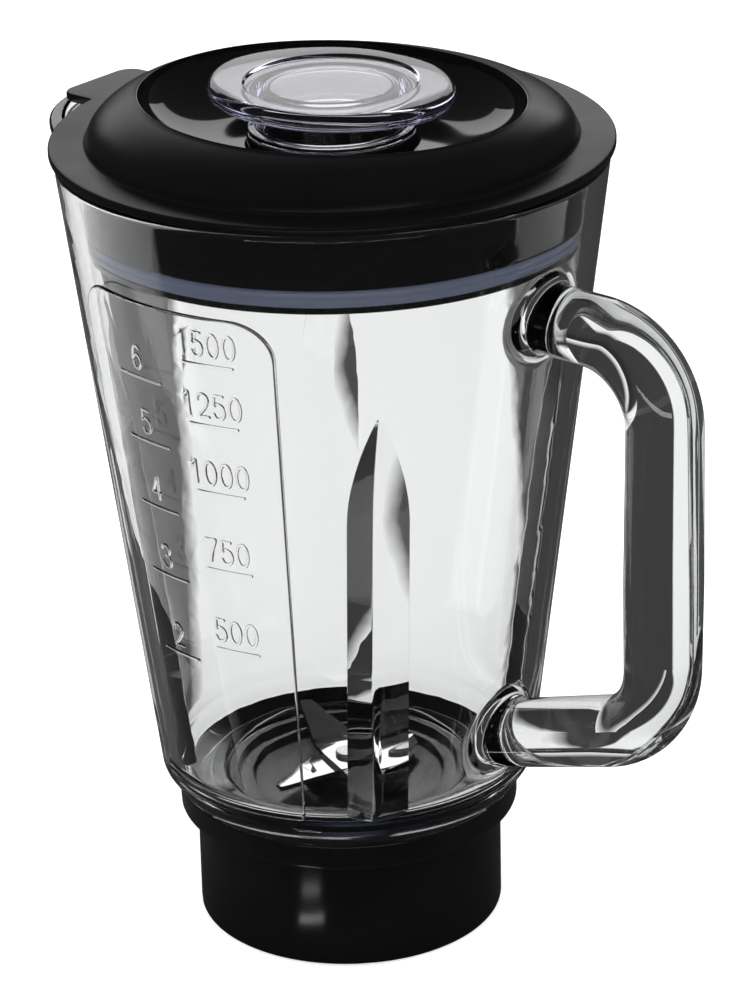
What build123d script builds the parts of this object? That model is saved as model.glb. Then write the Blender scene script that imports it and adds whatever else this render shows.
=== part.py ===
from build123d import *
import os
from math import cos, hypot, radians, sin

# Frame: +Z up, the table at z = 0, the jar's axis on Z, the handle along +X, the spout along -X
# and the scale panel on the -Y side. All sizes are in millimetres and degrees.

# Base collar: the black cup that the jug stands on and that drops into a motor unit
base_radius = 44.2
base_wall = 2.6
base_height = 41.0
base_edge_round = 1.2
flange_reach = 4.8
flange_depth = 8.0
flange_round = 1.4
ledge_height = 19.0
ledge_thickness = 3.0
ledge_width = 8.0
key_count = 4
key_width = 5.0
key_depth = 1.4

# Glass jar: a tapered cone with a screw neck below and a pouring lip above
glass_wall = 5.0
jar_top = 231.7
rim_radius = 76.4
rim_round = 1.8
heel_radius = 53.8
heel_height = 48.0
heel_round = 3.5
foot_radius = 49.4
foot_round = 1.2
neck_bore = 35.5
floor_height = 45.5
floor_rise = 4.5
floor_round = 8.0
spout_overhang = 15.6
spout_radius = 40.0
spout_low_radius = 33.0
spout_drop = 42.0
spout_round = 14.0

# Glass handle, measured along the middle line of its bar
grip_reach = 111.4
grip_thick = 21.0
grip_wide = 23.0
bar_thick = 18.5
bar_wide = 22.0
bar_top_drop = 34.2
bar_top_fall = 1.0
bar_low_lift = 21.0
bar_low_rise = 17.5
bend_top = 23.0
bend_low = 25.0
root_round = 8.0
root_depth = 11.0

# Inner ribs of the glass, with lancet tops, and the raised scale panel
rib_angles = (41.0, -41.0, 132.5, -132.5)
rib_width = 16.5
rib_depth = 8.0
rib_drop = 53.7
rib_lancet = 32.0
rib_shape = ((0, 1), (0.55, 0.66), (1, 0.04))
rib_sink = 1.5
panel_half_angle = 27.0
panel_drop = 25.2
panel_raise = 0.6
panel_corner = 11.0

# Lid
lid_overhang = 1.1
lid_thick = 2.4
lid_wall = 2.2
dome_inset = 9.0
crest_inset_long = 11.1
crest_inset_wide = 17.9
crest_rise = 11.2
crest_land = 0.7
bowl_radius = 28.0
bowl_depth = 13.6
filler_bore = 21.3
filler_wall = 2.0
filler_rise = 4.0
filler_drop = 22.0
tab_overhang = 10.8
tab_width = 29.0
tab_corner = 5.0
skirt_length = 17.0
skirt_wall = 3.0
lip_depth = 1.9
seal_height = 4.8
seal_groove = 2.4
seal_round = 1.4

# Clear measuring cap
plate_half_long = 33.2
plate_half_wide = 27.2
plate_side_radius = 75.0
plate_corner = 13.0
plate_thick = 4.0
plate_lift = 0.3
plate_edge_round = 1.4
recess_radius = 20.4
recess_depth = 0.8
cup_wall = 2.0
cup_depth = 36.0
shoulder_reach = 2.2
shoulder_thick = 1.5

# Blade carrier and its bearing
carrier_flange = 2.5
carrier_wall = 2.4
carrier_rim_height = 44.0
carrier_rim_width = 2.8
step_drop = 1.7
step_width = 3.4
dish_slope = 1.0
boss_radius = 11.5
boss_bottom = 13.0
boss_top = 42.0
sleeve_radius = 9.0
bush_radius = 7.0
bush_length = 7.0
sleeve_rib = 1.0
seal_thick = 3.0
felt_length = 7.0
gasket_thick = 2.5

# Shaft, blades and drive
shaft_radius = 4.0
shaft_bottom = 3.5
square_side = 6.0
head_radius = 3.7
head_height = 1.2
washer_radius = 8.0
washer_thick = 1.0
blade_thick = 1.5
blade_hub = 10.0
blade_width = 12.0
blade_tip_width = 4.0
blade_rake_start = 13.0
upper_wing = 14.5
upper_lift_angle = 45.0
lower_wing = 14.0
lower_lift_angle = -2.0
rotor_turn = -25.0
blade_cross_angle = 90.0
ring_thick = 1.0
ring_reach = 2.4
ring_gap = 3.0
groove_depth = 0.7
coupling_radius = 15.0
coupling_core = 9.5
coupling_height = 8.2
coupling_bottom = 2.0
tooth_count = 8
tooth_width = 4.2
tooth_round = 2.0
insert_radius = 6.5

# Clearances
thread_gap = 0.4
foot_gap = 0.4
seat_gap = 0.3
skirt_gap = 0.6
seal_gap = 0.3
cup_gap = 0.5
neck_gap = 0.5
side_gap = 0.4
run_gap = 0.05
seal_run_gap = 0.1
end_gap = 0.3
stack_gap = 0.6

# How close to the cone a point of a seam has to lie
skin_tolerance = 0.05

# Sizes that follow from those above
base_bore = base_radius - base_wall
flange_radius = base_radius + flange_reach
flange_bottom = base_height - flange_depth
carrier_top = ledge_height + carrier_flange
neck_bottom = carrier_top + gasket_thick
neck_radius = base_bore - thread_gap
foot_height = base_height + foot_gap
spout_reach = rim_radius + spout_overhang
cone_slope = (rim_radius - heel_radius) / (jar_top - heel_height)
bar_top_height = jar_top - bar_top_drop
bar_low_height = heel_height + bar_low_lift
rib_top = jar_top - rib_drop
panel_top = jar_top - panel_drop
carrier_radius = neck_bore - neck_gap
lid_radius = rim_radius + lid_overhang
tab_reach = lid_radius + tab_overhang
dome_radius = rim_radius - dome_inset
crest_long = dome_radius - crest_inset_long
crest_wide = dome_radius - crest_inset_wide
lid_bottom = jar_top + seat_gap
lid_top = lid_bottom + lid_thick
crest_height = lid_top + crest_rise
plate_height = crest_height + plate_lift
bowl_floor = crest_height - bowl_depth
filler_top = bowl_floor + filler_rise
filler_radius = filler_bore + filler_wall
skirt_bottom = lid_bottom - skirt_length
seal_bottom = skirt_bottom - seal_height
lip_bottom = seal_bottom - lip_depth
cup_radius = filler_bore - cup_gap
sleeve_top = boss_top - seal_thick
stack_bottom = boss_top + stack_gap
lower_blade_height = stack_bottom + washer_thick
upper_blade_height = lower_blade_height + blade_thick
head_bottom = upper_blade_height + blade_thick
lower_washer_top = boss_bottom - end_gap
ring_top = lower_washer_top - washer_thick


# Outside radius of the glass cone at a height
def cone_radius(height):
    return rim_radius - cone_slope * (jar_top - height)


# Inside radius of the glass cone at a height
def bore_radius(height):
    return cone_radius(height) - glass_wall


# Flat outline of radius-height points: a third number rounds that corner
def outline(points):
    face = make_face(Polyline(*[point[:2] for point in points], close=True))
    for spot in points:
        if len(spot) == 3:
            corner = face.vertices().sort_by_distance((spot[0], spot[1], 0))[0]
            face = fillet(corner, spot[2])
    return face


# Solid turned about the jar's axis from such an outline
def turned(points):
    return revolve(Plane.XZ * outline(points), Axis.Z)


# Round ring or disc between two heights
def ring(outer, inner, low, high):
    face = Circle(outer)
    if inner > 0:
        face = face - Circle(inner)
    return Pos(0, 0, low) * extrude(face, high - low)


# Base collar: wall, rounded flange, inner ledge, and keys that stop the jug from turning on its motor unit
def make_base_collar():
    ledge_bottom = ledge_height - ledge_thickness
    ledge_bore = base_bore - ledge_width
    points = [
        (base_bore, 0),
        (base_radius, 0, base_edge_round),
        (base_radius, flange_bottom),
        (flange_radius, flange_bottom, flange_round),
        (flange_radius, base_height, flange_round / 2),
        (base_bore, base_height),
        (base_bore, ledge_height),
        (ledge_bore, ledge_height),
        (ledge_bore, ledge_bottom),
        (base_bore, ledge_bottom),
    ]
    collar = turned(points)
    key_inner = base_bore - key_depth
    key_outer = base_bore + base_wall / 2
    key = Box(key_outer - key_inner, key_width, ledge_bottom)
    key = Pos((key_inner + key_outer) / 2, 0, ledge_bottom / 2) * key
    keys = PolarLocations(0, key_count, start_angle=180 / key_count) * key
    return collar + keys


# Blade carrier: clamped flange, wall inside the glass neck, stepped dish and bearing boss
def make_blade_carrier():
    flange_edge = base_bore - side_gap
    rim_inner = carrier_radius - carrier_rim_width
    step_high = carrier_rim_height - step_drop
    step_inner = rim_inner - step_drop / 2 - step_width
    step_low = step_high - step_drop
    under = step_low - dish_slope - carrier_wall
    wall_inner = carrier_radius - carrier_wall
    points = [
        (wall_inner, ledge_height),
        (flange_edge, ledge_height),
        (flange_edge, carrier_top),
        (carrier_radius, carrier_top),
        (carrier_radius, carrier_rim_height, carrier_rim_width / 4),
        (rim_inner, carrier_rim_height),
        (rim_inner - step_drop / 2, step_high),
        (step_inner, step_high),
        (step_inner - step_drop / 2, step_low),
        (boss_radius + 2 * dish_slope, step_low - dish_slope, dish_slope),
        (boss_radius, boss_top, dish_slope / 2),
        (sleeve_radius, boss_top),
        (sleeve_radius, boss_bottom),
        (boss_radius, boss_bottom),
        (boss_radius, under),
        (wall_inner, under + dish_slope),
    ]
    return turned(points)


# One rib: a ruled prism on the inside of the cone that narrows to a point at its top
def make_rib(angle):
    sections = []
    stations = [(foot_height + heel_round, 1)]
    for along, share in rib_shape:
        stations.append((rib_top - rib_lancet * (1 - along), share))
    for height, share in stations:
        root = bore_radius(height) + rib_sink
        nose = bore_radius(height) - rib_depth * share
        half = rib_width / 2 * share
        triangle = make_face(Polyline((root, -half), (root, half), (nose, 0), close=True))
        sections.append(Pos(0, 0, height) * triangle)
    return Rot(0, 0, angle) * loft(sections, ruled=True)


# Pouring lip: a leaning cone that starts just inside the glass, with an inset and a run past the rim
def make_spout(inset, over):
    low = jar_top - spout_drop
    low_reach = cone_radius(low) - spout_low_radius - skirt_gap
    high_reach = spout_reach - spout_radius
    grow = 1 + over / spout_drop
    high_center = low_reach + (high_reach - low_reach) * grow
    high_radius = spout_low_radius + (spout_radius - spout_low_radius) * grow
    low_face = Pos(-low_reach, 0, low) * Circle(spout_low_radius - inset)
    high_face = Pos(-high_center, 0, jar_top + over) * Circle(high_radius - inset)
    return loft([low_face, high_face], ruled=True)


# Handle: an oval bar that runs out of the wall, swells into the grip and runs back in
def make_handle():
    path = FilletPolyline(
        (cone_radius(bar_top_height) - root_depth, 0, bar_top_height),
        (grip_reach, 0, bar_top_height - bar_top_fall),
        (grip_reach, 0, bar_low_height + bar_low_rise),
        (cone_radius(bar_low_height) - root_depth, 0, bar_low_height),
        radius=(bend_top, bend_low),
    )
    bar = Ellipse(bar_wide / 2, bar_thick / 2)
    grip = Ellipse(grip_wide / 2, grip_thick / 2)
    sections = []
    for place, face in ((0, bar), (0.5, grip), (1, bar)):
        sections.append(Plane(origin=path @ place, x_dir=(0, 1, 0), z_dir=path % place) * face)
    return sweep(sections, path, multisection=True)


# Edges that lie on the outer skin of the cone, on the handle's side (1) or the spout's side (-1)
def skin_edges(shape, side):
    found = []
    for edge in shape.edges():
        spots = [edge @ share for share in (0, 0.25, 0.5, 0.75, 1)]
        on_skin = all(abs(hypot(spot.X, spot.Y) - cone_radius(spot.Z)) < skin_tolerance for spot in spots)
        on_side = all(spot.X * side > glass_wall for spot in spots)
        below_rim = min(spot.Z for spot in spots) < jar_top - rim_round
        if on_skin and on_side and below_rim:
            found.append(edge)
    return found


# Raised panel for the volume scale, with straight sides at a steady plan angle
def make_panel():
    low = heel_height + heel_round
    band = turned([
        (bore_radius(low) + glass_wall / 2, low),
        (cone_radius(low) + panel_raise, low),
        (cone_radius(panel_top) + panel_raise, panel_top),
        (bore_radius(panel_top) + glass_wall / 2, panel_top),
    ])
    share = sin(radians(panel_half_angle))
    wide_low = cone_radius(low) * share
    wide_high = cone_radius(panel_top) * share
    window = outline([
        (-wide_low, low - panel_raise),
        (wide_low, low - panel_raise),
        (wide_high, panel_top, panel_corner),
        (-wide_high, panel_top, panel_corner),
    ])
    return band & extrude(Plane.XZ * window, rim_radius + panel_raise)


# Glass jar: cone, heel, neck, pouring lip, handle, ribs and scale panel in one casting
def make_glass_jar():
    floor_corner = floor_height + floor_rise
    outer = turned([
        (0, neck_bottom),
        (neck_radius, neck_bottom),
        (neck_radius, foot_height),
        (foot_radius, foot_height, foot_round),
        (heel_radius, heel_height, heel_round),
        (rim_radius, jar_top),
        (0, jar_top),
    ])
    inner = turned([
        (0, neck_bottom),
        (neck_bore, neck_bottom),
        (neck_bore, floor_height, floor_round / 4),
        (bore_radius(floor_corner), floor_corner, floor_round),
        (bore_radius(jar_top + rim_round), jar_top + rim_round),
        (0, jar_top + rim_round),
    ])
    body = Rot(0, 0, 90) * outer + make_spout(0, 0)
    body = fillet(skin_edges(body, -1), spout_round)
    body = body + make_handle()
    body = fillet(skin_edges(body, 1), root_round)
    body = body + make_panel()
    body = body - inner - make_spout(glass_wall, rim_round)
    for angle in rib_angles:
        body = body + make_rib(angle)
    return fillet(body.edges().group_by(Axis.Z)[-1], rim_round)


# Oval slice of the lid at a height
def oval(half_long, half_wide, height):
    return Pos(0, 0, height) * Ellipse(half_long, half_wide)


# Dome of the lid: round at its foot, oval at its crest, drawn in by an even inset
def make_dome(inset):
    sections = []
    for turn in (0, 30, 60, 90):
        share = 1 - cos(radians(turn))
        half_long = dome_radius - (dome_radius - crest_long) * share - inset
        half_wide = dome_radius - (dome_radius - crest_wide) * share - inset
        height = lid_top + crest_rise * sin(radians(turn)) - inset
        sections.append(oval(half_long, half_wide, height))
    return loft(sections)


# Bowl of the lid: oval at the crest, round at its floor, swelled by an even outset
def make_bowl(outset):
    sections = []
    for turn in (90, 60, 30, 0):
        share = cos(radians(turn))
        half_long = bowl_radius + (crest_long - crest_land - bowl_radius) * share + outset
        half_wide = bowl_radius + (crest_wide - crest_land - bowl_radius) * share + outset
        height = crest_height - bowl_depth * sin(radians(turn)) - outset
        sections.append(oval(half_long, half_wide, height))
    return loft(sections)


# Lid: flange with its spout tab, hollow dome, bowl, filler tube and grooved skirt
def make_lid():
    flange = ring(lid_radius, dome_radius - lid_wall, lid_bottom, lid_top)
    tab_length = tab_reach - dome_radius
    tab = extrude(Rectangle(tab_length, tab_width), lid_thick)
    tab = Pos(-tab_reach + tab_length / 2, 0, lid_bottom) * tab
    tab_ends = tab.edges().filter_by(Axis.Z).group_by(Axis.X)[0]
    tab = fillet(tab_ends, tab_corner)
    shell = make_dome(0) - (make_dome(lid_wall) - make_bowl(lid_wall))
    bowl_shell = make_bowl(lid_wall) + ring(filler_radius, 0, bowl_floor - filler_drop, filler_top)
    skirt_radius = bore_radius(skirt_bottom) - skirt_gap
    lip_radius = bore_radius(lip_bottom) - skirt_gap
    groove_radius = lip_radius - seal_groove
    skirt_inner = lip_radius - skirt_wall - seal_groove
    skirt = turned([
        (skirt_inner, lip_bottom),
        (lip_radius, lip_bottom),
        (lip_radius, seal_bottom),
        (groove_radius, seal_bottom),
        (groove_radius, skirt_bottom),
        (skirt_radius, skirt_bottom),
        (skirt_radius, lid_bottom),
        (skirt_inner, lid_bottom),
    ])
    lid = flange + tab + shell + bowl_shell + skirt
    lid = lid - make_bowl(0)
    lid = lid + ring(filler_radius, 0, bowl_floor - filler_drop, filler_top)
    return lid - ring(filler_bore, 0, bowl_floor - filler_drop, filler_top)


# Lid seal: soft ring in the skirt's groove
def make_lid_seal():
    groove_radius = bore_radius(lip_bottom) - skirt_gap - seal_groove
    seal_radius = bore_radius(seal_bottom) - seal_gap
    return turned([
        (groove_radius, seal_bottom),
        (seal_radius, seal_bottom, seal_round),
        (seal_radius, skirt_bottom, seal_round),
        (groove_radius, skirt_bottom),
    ])


# Outline of the cap's plate: four shallow arcs with round corners
def plate_outline():
    far = plate_side_radius
    sides = Pos(plate_half_long - far, 0) * Circle(far) & Pos(far - plate_half_long, 0) * Circle(far)
    ends = Pos(0, plate_half_wide - far) * Circle(far) & Pos(0, far - plate_half_wide) * Circle(far)
    face = sides & ends
    return fillet(face.vertices(), plate_corner)


# Measuring cap: plate with a shallow recess, a cup open below, and a shoulder that rests on the filler
def make_measuring_cap():
    plate_top = plate_height + plate_thick
    plate = Pos(0, 0, plate_height) * extrude(plate_outline(), plate_thick)
    faces = plate.faces().sort_by(Axis.Z)
    plate = fillet(faces[0].edges() + faces[-1].edges(), plate_edge_round)
    shoulder_bottom = filler_top + seat_gap
    cup = ring(cup_radius, 0, plate_height - cup_depth, plate_height + plate_thick / 2)
    shoulder = ring(cup_radius + shoulder_reach, 0, shoulder_bottom, shoulder_bottom + shoulder_thick)
    hollow = ring(cup_radius - cup_wall, 0, plate_height - cup_depth, plate_top - recess_depth - cup_wall)
    recess = ring(recess_radius, 0, plate_top - recess_depth, plate_top)
    return plate + cup + shoulder - hollow - recess


# Bearing sleeve: metal tube with an inner rib that both bushes stop against
def make_bearing_sleeve():
    sleeve = ring(sleeve_radius, bush_radius, boss_bottom, sleeve_top)
    rib = ring(sleeve_radius, bush_radius - sleeve_rib, boss_bottom + bush_length, sleeve_top - bush_length)
    return sleeve + rib


# Drive shaft: round in its bushes, square in the blades, with a riveted head and a ring groove
def make_drive_shaft():
    shaft = ring(shaft_radius, 0, shaft_bottom, stack_bottom)
    square = extrude(Rectangle(square_side, square_side), head_bottom - stack_bottom)
    square = Pos(0, 0, stack_bottom) * Rot(0, 0, rotor_turn) * square
    square = square & ring(shaft_radius - groove_depth, 0, stack_bottom, head_bottom)
    head = ring(head_radius, 0, head_bottom, head_bottom + head_height)
    head = fillet(head.edges().group_by(Axis.Z)[-1], head_height / 2)
    groove = ring(shaft_radius, shaft_radius - groove_depth, ring_top - ring_thick, ring_top)
    return shaft + square + head - groove


# Bent strip of even thickness along a line of points, seen from its side
def strip(points, thick):
    upper = []
    lower = []
    for index, point in enumerate(points):
        before = Vector(*points[max(index - 1, 0)])
        after = Vector(*points[min(index + 1, len(points) - 1)])
        here = Vector(*point)
        ways = [way.normalized() for way in (here - before, after - here) if way.length > 0]
        along = sum(ways, Vector(0, 0, 0)).normalized()
        across = Vector(-along.Y, along.X, 0)
        reach = thick / 2 / (across.dot(Vector(-ways[0].Y, ways[0].X, 0)))
        upper.append(here + across * reach)
        lower.append(here - across * reach)
    return make_face(Polyline(*upper, *reversed(lower), close=True))


# Blade: a bent strip cut to a plan with raked tips, with a square hole for the shaft
def make_blade(height, wing, lift, turn):
    rise = wing * sin(radians(lift))
    reach = blade_hub + wing * cos(radians(lift))
    middle = height + blade_thick / 2
    tip_height = middle + rise
    bends = [(-reach, tip_height), (-blade_hub, middle), (blade_hub, middle), (reach, tip_height)]
    side = strip(bends, blade_thick)
    bent = extrude(Plane.XZ * side, blade_width, both=True)
    half = blade_width / 2
    tip = half - blade_tip_width
    end = reach + blade_thick
    plan = make_face(Polyline(
        (blade_rake_start, -half),
        (end, tip),
        (end, half),
        (-blade_rake_start, half),
        (-end, -tip),
        (-end, -half),
        close=True,
    ))
    low = height - wing
    blade = bent & Pos(0, 0, low) * extrude(plan, 2 * wing + blade_thick)
    hole = Pos(0, 0, height) * extrude(Rectangle(square_side, square_side), blade_thick)
    hole = hole & ring(shaft_radius - groove_depth, 0, height, height + blade_thick)
    return Rot(0, 0, turn) * (blade - hole)


# Retaining ring: an open circlip in the shaft's groove
def make_retaining_ring():
    clip = ring(shaft_radius + ring_reach, shaft_radius - groove_depth, ring_top - ring_thick, ring_top)
    mouth = Pos(shaft_radius + ring_reach / 2, 0, ring_top - ring_thick / 2)
    return clip - mouth * Box(shaft_radius + ring_reach, ring_gap, ring_thick)


# Drive coupling: a driver with a ring of rounded teeth round a metal hub
def make_drive_coupling():
    top = coupling_bottom + coupling_height
    core = ring(coupling_core, insert_radius, coupling_bottom, top)
    length = coupling_radius - coupling_core / 2 - insert_radius / 2
    tooth = extrude(RectangleRounded(length, tooth_width, tooth_round), coupling_height)
    tooth = Pos(coupling_radius - length / 2, 0, coupling_bottom) * tooth
    teeth = PolarLocations(0, tooth_count) * tooth
    return core + teeth


pieces = {
    "base_collar": make_base_collar(),
    "blade_carrier": make_blade_carrier(),
    "jar_gasket": ring(base_bore - side_gap, carrier_radius + side_gap, carrier_top, neck_bottom),
    "glass_jar": make_glass_jar(),
    "lid": make_lid(),
    "lid_seal": make_lid_seal(),
    "measuring_cap": make_measuring_cap(),
    "bearing_sleeve": make_bearing_sleeve(),
    "upper_bush": ring(bush_radius, shaft_radius + run_gap, sleeve_top - bush_length, sleeve_top),
    "lower_bush": ring(bush_radius, shaft_radius + run_gap, boss_bottom, boss_bottom + bush_length),
    "shaft_seal": ring(sleeve_radius, shaft_radius + seal_run_gap, sleeve_top, boss_top),
    "grease_felt": ring(
        bush_radius - sleeve_rib,
        shaft_radius + seal_run_gap,
        boss_bottom + bush_length,
        boss_bottom + bush_length + felt_length,
    ),
    "drive_shaft": make_drive_shaft(),
    "thrust_washer": ring(washer_radius, shaft_radius - groove_depth, stack_bottom, lower_blade_height),
    "lower_blade": make_blade(
        lower_blade_height,
        lower_wing,
        lower_lift_angle,
        rotor_turn + blade_cross_angle,
    ),
    "upper_blade": make_blade(
        upper_blade_height,
        upper_wing,
        upper_lift_angle,
        rotor_turn,
    ),
    "lower_washer": ring(washer_radius, shaft_radius, ring_top, lower_washer_top),
    "retaining_ring": make_retaining_ring(),
    "drive_coupling": make_drive_coupling(),
    "coupling_insert": ring(
        insert_radius,
        shaft_radius,
        coupling_bottom,
        coupling_bottom + coupling_height,
    ),
}

os.makedirs("parts", exist_ok=True)
for name, shape in pieces.items():
    export_step(shape, f"parts/{name}.step")
    print(name, len(shape.solids()), round(shape.volume))
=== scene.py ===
import math
import bpy
import numpy as np
from mathutils import Matrix


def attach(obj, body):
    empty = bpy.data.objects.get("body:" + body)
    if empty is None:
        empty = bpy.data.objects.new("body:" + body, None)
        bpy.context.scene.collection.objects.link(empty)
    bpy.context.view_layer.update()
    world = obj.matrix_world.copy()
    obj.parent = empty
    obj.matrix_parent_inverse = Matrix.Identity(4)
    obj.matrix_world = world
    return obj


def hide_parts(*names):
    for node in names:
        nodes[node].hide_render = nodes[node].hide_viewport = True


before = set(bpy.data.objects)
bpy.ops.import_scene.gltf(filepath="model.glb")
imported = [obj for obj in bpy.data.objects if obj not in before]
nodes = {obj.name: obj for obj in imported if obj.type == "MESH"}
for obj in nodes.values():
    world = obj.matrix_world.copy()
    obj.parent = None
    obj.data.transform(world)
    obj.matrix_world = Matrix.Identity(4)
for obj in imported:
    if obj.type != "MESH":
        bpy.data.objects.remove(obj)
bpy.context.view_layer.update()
mm = 0.001  # every size below is in millimetres, the meshes are in metres

# Camera: place and aim were fitted to the round edges of the photograph
cameraSetup = {
    "azimuth": 40.0, "planDistance": 1041.2, "height": 574.4, "pitch": 23.32, "yaw": 0.56, "roll": -1.27,
    "focalPixels": 4000.0, "imageHeight": 1000.0, "sensor": 36.0, "clip": (0.05, 60.0),
}


def putInScene(thing, across, above, aim, place):
    # the thing's own axes point right, up and away from what it looks at
    matrix = np.eye(4)
    matrix[:3, :3] = np.stack([across, above, -aim], 1)
    matrix[:3, 3] = place
    thing.matrix_world = Matrix(matrix.tolist())
    bpy.context.scene.collection.objects.link(thing)


def makeCamera(setup):
    # aim vector from pitch and yaw, rolled about itself, then all of it turned round Z by the azimuth
    pitch, yaw, roll, turn = (math.radians(setup[k]) for k in ("pitch", "yaw", "roll", "azimuth"))
    aim = np.array([math.sin(yaw) * math.cos(pitch), math.cos(yaw) * math.cos(pitch), -math.sin(pitch)])
    right = np.array([math.cos(yaw), -math.sin(yaw), 0.0])
    up = np.cross(right, aim)
    across = right * math.cos(roll) + up * math.sin(roll)
    above = up * math.cos(roll) - right * math.sin(roll)
    place = np.array([0.0, -setup["planDistance"], setup["height"]]) * mm
    spin = np.array([[math.cos(turn), -math.sin(turn), 0], [math.sin(turn), math.cos(turn), 0], [0, 0, 1]])
    data = bpy.data.cameras.new("photoCamera")
    data.sensor_width = setup["sensor"]
    data.lens = setup["focalPixels"] / setup["imageHeight"] * setup["sensor"]
    data.clip_start, data.clip_end = setup["clip"]
    camera = bpy.data.objects.new("photoCamera", data)
    putInScene(camera, *(spin @ part for part in (across, above, aim, place)))
    bpy.context.scene.camera = camera


makeCamera(cameraSetup)
print("camera is set")


# Mesh helpers

def roundedPath(corners, steps=7, hold=0.35, longest=7.0, close=True):
    # corners are (radius, height, rounding); each rounded corner becomes an arc tangent to both of its sides,
    # and straight runs get rows near their ends so that shading stays flat along them
    spots = np.array([c[:2] for c in corners], float)
    rounds = [c[2] if len(c) > 2 else 0.0 for c in corners]
    count = len(spots)
    pieces = []
    for i in range(count):
        here = spots[i]
        if rounds[i] <= 0 or (not close and i in (0, count - 1)):
            pieces.append(here[None])
            continue
        back = spots[i - 1] - here
        ahead = spots[(i + 1) % count] - here
        back, ahead = back / np.linalg.norm(back), ahead / np.linalg.norm(ahead)
        half = math.acos(np.clip(back @ ahead, -1, 1)) / 2
        middle = here + (back + ahead) / np.linalg.norm(back + ahead) * rounds[i] / math.sin(half)
        start = here + back * rounds[i] / math.tan(half) - middle
        end = here + ahead * rounds[i] / math.tan(half) - middle
        sweep = math.pi - 2 * half
        t = np.linspace(0, 1, steps)[:, None]
        pieces.append(middle + (np.sin((1 - t) * sweep) * start + np.sin(t * sweep) * end) / math.sin(sweep))
    path = []
    for i, piece in enumerate(pieces):
        path.append(piece)
        if i == count - 1 and not close:
            break
        first, last = piece[-1], pieces[(i + 1) % count][0]
        length = np.linalg.norm(last - first)
        if length > 4 * hold:
            inner = max(int(math.ceil((length - 2 * hold) / longest)), 1)
            t = np.linspace(hold / length, 1 - hold / length, inner + 1)[:, None]
            path.append(first + (last - first) * t)
    return np.concatenate(path)


def profile(sizes, *corners, **fineness):
    # rounded path through corners (radius, height, rounding), whose numbers may be named by a piece's own keys
    return roundedPath([[sizes.get(c, c) for c in corner] for corner in corners], **fineness)


def rowFaces(grid, loop):
    # rows of points, each row a closed ring; rows join in turn, in a loop or from one pole to another
    rows, cols = grid.shape[:2]
    ids = np.arange(rows * cols).reshape(rows, cols)
    lower, upper = (ids, np.roll(ids, -1, 0)) if loop else (ids[1:-2], ids[2:-1])
    quads = np.stack([lower, np.roll(lower, -1, 1), np.roll(upper, -1, 1), upper], -1).reshape(-1, 4)
    fans = np.zeros((0, 3), int)
    if not loop:
        ends = ((ids[0, 0], np.roll(ids[1], -1), ids[1]), (ids[-1, 0], ids[-2], np.roll(ids[-2], -1)))
        fans = np.concatenate([np.stack([np.full(cols, pole), a, b], -1) for pole, a, b in ends])
    used, fresh = np.unique(np.concatenate([quads.ravel(), fans.ravel()]), return_inverse=True)
    points = grid.reshape(-1, 3)[used] * mm
    quads, fans = fresh[:quads.size].reshape(-1, 4), fresh[quads.size:].reshape(-1, 3)
    halves = np.concatenate([quads[:, [0, 1, 2]], quads[:, [0, 2, 3]], fans])
    a, b, c = (points[halves[:, k]] for k in range(3))
    if np.einsum("ij,ij->", a, np.cross(b, c)) < 0:  # volume below zero: the rows ran inside out
        quads, fans = quads[:, ::-1], fans[:, ::-1]
    return points, quads, fans


def newPiece(name, points, quads, fans, sharp=32.0):
    mesh = bpy.data.meshes.new(name)
    mesh.from_pydata(points.tolist(), [], quads.tolist() + fans.tolist())
    mesh.update()
    smoothShade(mesh, sharp)
    piece = bpy.data.objects.new(name, mesh)
    bpy.context.scene.collection.objects.link(piece)
    return piece


def meshFromRows(name, grid, loop=True, sharp=32.0):
    return newPiece(name, *rowFaces(grid, loop), sharp)


def smoothShade(mesh, sharp):
    mesh.polygons.foreach_set("use_smooth", np.ones(len(mesh.polygons), bool))
    mesh.set_sharp_from_angle(angle=math.radians(sharp))


def paintRows(piece, label, rowValues, cols):
    # one number for each row of a looped grid, kept on its vertices
    attribute = piece.data.attributes.new(label, "FLOAT", "POINT")
    attribute.data.foreach_set("value", np.repeat(np.asarray(rowValues, np.float32), cols))


def fullTurn(count):
    return np.linspace(0, 2 * np.pi, count, endpoint=False)


def turned(radius, z, around):
    # a ring of radius r at height z for each row: (r cos a, r sin a, z)
    radius = radius + 0 * around
    return np.stack([radius * np.cos(around), radius * np.sin(around), z + 0 * radius], -1)


def lathe(path, count):
    return turned(path[:, :1], path[:, 1:], fullTurn(count))


def swung(along, across, z, degrees):
    # points given along and across one plan direction, turned round Z to it
    c, s = math.cos(math.radians(degrees)), math.sin(math.radians(degrees))
    return np.stack([along * c - across * s, along * s + across * c, z + 0 * along], -1)


def closeEnds(rows):
    # the first and the last row once more, each drawn together in its own middle
    first, last = (np.broadcast_to(row.mean(1, keepdims=True), row.shape) for row in (rows[:1], rows[-1:]))
    return np.concatenate([first, rows, last])


def unit(vectors):
    return vectors / np.linalg.norm(vectors, axis=-1, keepdims=True)


def unite(body, parts):
    # union of closed meshes, in turn, kept as one plain mesh
    for part in parts:
        step = body.modifiers.new(part.name, "BOOLEAN")
        step.operation, step.object, step.solver = "UNION", part, "MANIFOLD"
    graph = bpy.context.evaluated_depsgraph_get()
    mesh = bpy.data.meshes.new_from_object(body.evaluated_get(graph))
    mesh.name = body.data.name + "Cast"
    body.modifiers.clear()
    body.data = mesh
    for part in parts:
        spare = part.data
        bpy.data.objects.remove(part)
        bpy.data.meshes.remove(spare)


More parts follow.
